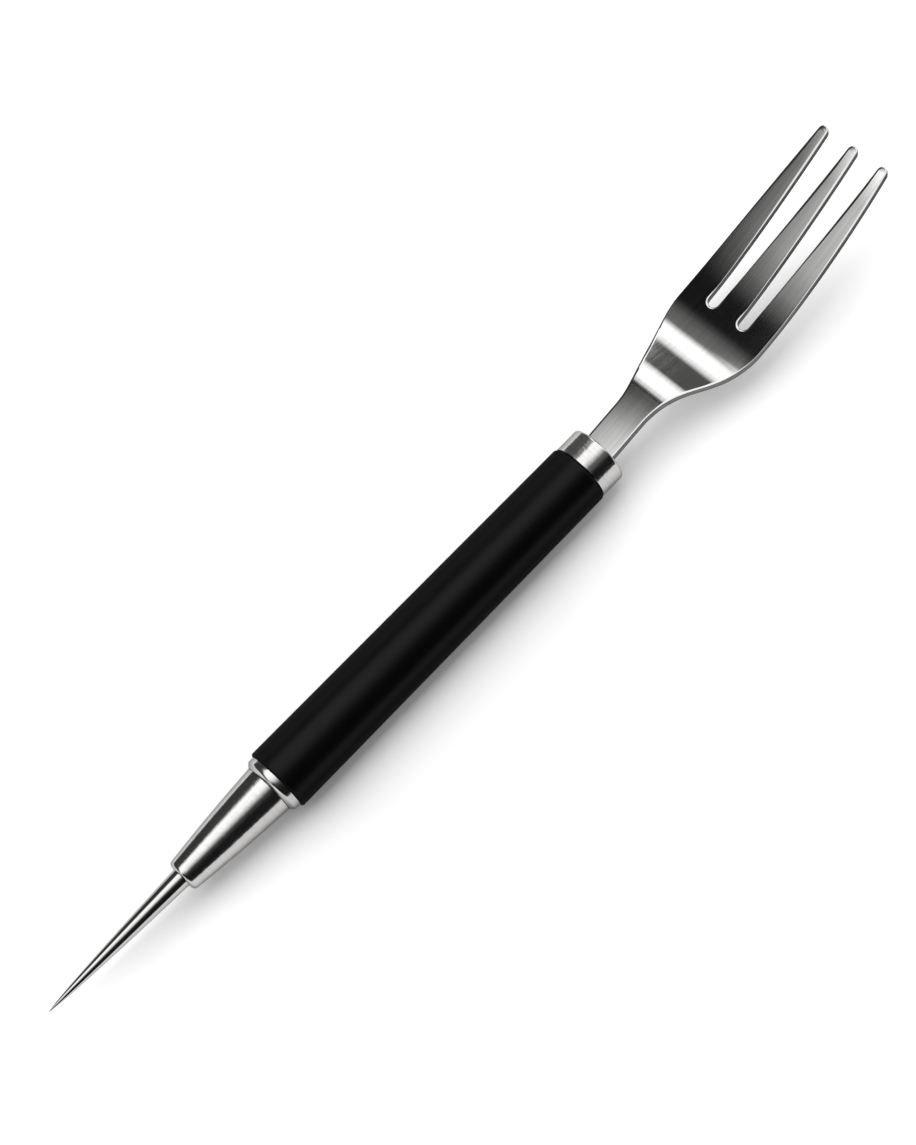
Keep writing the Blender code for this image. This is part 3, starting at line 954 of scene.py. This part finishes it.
def panel_paint():
    """Light levels of the panel, by the places in millimetres that the camera sees mirrored in the tool."""
    paint = Paint("panel_paint", PANEL_DARK)
    x, y, fade = paint.x, paint.y, paint.fade
    near = paint.slanted(0.16, 80)
    far = paint.slanted(-0.336, 208)

    # Long highlight on the grip, the collar and the cone, wider past both of the grip's ends
    paint.patch(1.85, fade(near, -163, -22), fade(y, 72, 50))
    paint.patch(2.3, fade(y, 0, 40), fade(y, 94, 64), fade(x, 76, 90))
    paint.patch(2.1, fade(y, 0, 40), fade(y, 150, 60), fade(x, -5, -30))
    paint.patch(2.1, fade(y, 0, 40), fade(y, 190, 70), fade(x, -5, -20), fade(x, -60, -40))

    # Light that fades along the neck and grows along the tines
    paint.patch(3.45, fade(y, 58, 68), fade(y, 112, 72), fade(x, 38, 6), fade(x, -30, -10))
    paint.patch(0.345, fade(y, 58, 68), fade(y, 112, 72), fade(x, 50, 30), fade(x, -30, -10))

    # Fork's shoulder: white line along its far rim, two white bands, their dim edge and the dark between
    paint.patch(2.4, fade(far, 120, 124), fade(y, 240, 200), fade(x, 130, 155), fade(x, 420, 380))
    paint.patch(2.4, fade(y, 72, 80), fade(y, 150, 125), fade(x, 80, 118), fade(x, 245, 188))
    paint.patch(0.355, fade(y, 60, 80), fade(y, 150, 120), fade(x, 58, 92), fade(x, 245, 188))
    paint.patch(0.15, fade(y, 60, 90), fade(x, 190, 215))

    # Dim far side, seen in the rims and the upper sides
    paint.patch(0.125, fade(y, 110, 160), fade(x, 0, 60))
    paint.patch(0.066, fade(y, 110, 160))
    paint.patch(0.14, fade(y, 500, 1000), fade(x, 40, 200))

    # Dim near side, seen in the lower sides
    paint.patch(0.19, fade(near, -333, -127), fade(y, 60, 40), fade(x, -40, 80))
    paint.patch(0.08, fade(near, -300, -127), fade(y, 60, 40))
    return paint.material


def stand_card():
    """A low dark card on the near side, seen only in the steel."""
    deselect_all()
    place = (0, CARD_NEAR, CARD_HEIGHT / 2)
    bpy.ops.mesh.primitive_plane_add(size=1.0, location=place, rotation=(math.pi / 2, 0, 0))
    card = bpy.context.object
    card.name = "studio_card"
    card.scale = (CARD_LENGTH, CARD_HEIGHT, 1.0)
    apply_place()
    card.data.materials.append(Paint("card_paint", CARD_DARK).material)
    show_in_steel_only(card)


def hang_lamp():
    """One wide soft lamp from the far side to just past overhead."""
    deselect_all()
    place = (0, (LAMP_FAR + LAMP_NEAR) / 2, LAMP_HEIGHT)
    bpy.ops.object.light_add(type="AREA", location=place)
    lamp = bpy.context.object
    lamp.name = "studio_lamp"
    lamp.data.shape = "RECTANGLE"
    lamp.data.size = LAMP_LENGTH
    lamp.data.size_y = LAMP_FAR - LAMP_NEAR
    lamp.data.energy = LAMP_POWER
    lamp.visible_glossy = False


def light_world():
    """A white background, and a faint even light on the object."""
    world = bpy.data.worlds.new("studio_world")
    bpy.context.scene.world = world
    sky = Nodes(world)
    background = sky.nodes["Background"]
    background.inputs["Color"].default_value = (1.0, 1.0, 1.0, 1.0)
    sky.join(sky.maths("MAXIMUM", sky.seen_rays(), WORLD_LIGHT), background.inputs["Strength"])


# Camera: the photograph's viewing angle, fitted to the tool's edges
CAMERA_LEAN = math.radians(9.6046)
CAMERA_RISE = math.radians(65.0)
CAMERA_ROLL = math.radians(0.0999)
CAMERA_TURN = math.radians(45.47)
CAMERA_DISTANCE = 0.5
CAMERA_STATION = 45.8416 * MM
CAMERA_LIFT = 2.8362 * MM
CAMERA_LENS = 94.33
CAMERA_SENSOR = 36.0
CAMERA_CLIP = 0.01


def place_camera():
    """Stand the camera back from the tool, leaning and turned as in the photograph."""
    lean = Vector((-math.sin(CAMERA_LEAN), 0, 0))
    back = lean + math.cos(CAMERA_LEAN) * Vector((0, -math.cos(CAMERA_RISE), math.sin(CAMERA_RISE)))
    steep = Vector((0, math.sin(CAMERA_RISE), math.cos(CAMERA_RISE)))
    level = steep.cross(back)
    along_tool = math.cos(CAMERA_ROLL) * level + math.sin(CAMERA_ROLL) * steep
    across_tool = math.cos(CAMERA_ROLL) * steep - math.sin(CAMERA_ROLL) * level
    target = Vector((SEAT_X + CAMERA_STATION, 0, AXIS_Z)) + CAMERA_LIFT * across_tool
    right = math.cos(CAMERA_TURN) * along_tool - math.sin(CAMERA_TURN) * across_tool
    up = math.sin(CAMERA_TURN) * along_tool + math.cos(CAMERA_TURN) * across_tool
    deselect_all()
    bpy.ops.object.camera_add()
    camera = bpy.context.object
    camera.name = "studio_camera"
    turned = Matrix((right, up, back)).transposed().to_4x4()
    camera.matrix_world = Matrix.Translation(target + CAMERA_DISTANCE * back) @ turned
    camera.data.sensor_fit = "VERTICAL"
    camera.data.sensor_height = CAMERA_SENSOR
    camera.data.lens = CAMERA_LENS
    camera.data.clip_start = CAMERA_CLIP
    bpy.context.scene.camera = camera


make_tool()
lay_floor()
hang_panel()
stand_card()
hang_lamp()
light_world()
place_camera()
bpy.context.scene.view_settings.view_transform = "Standard"
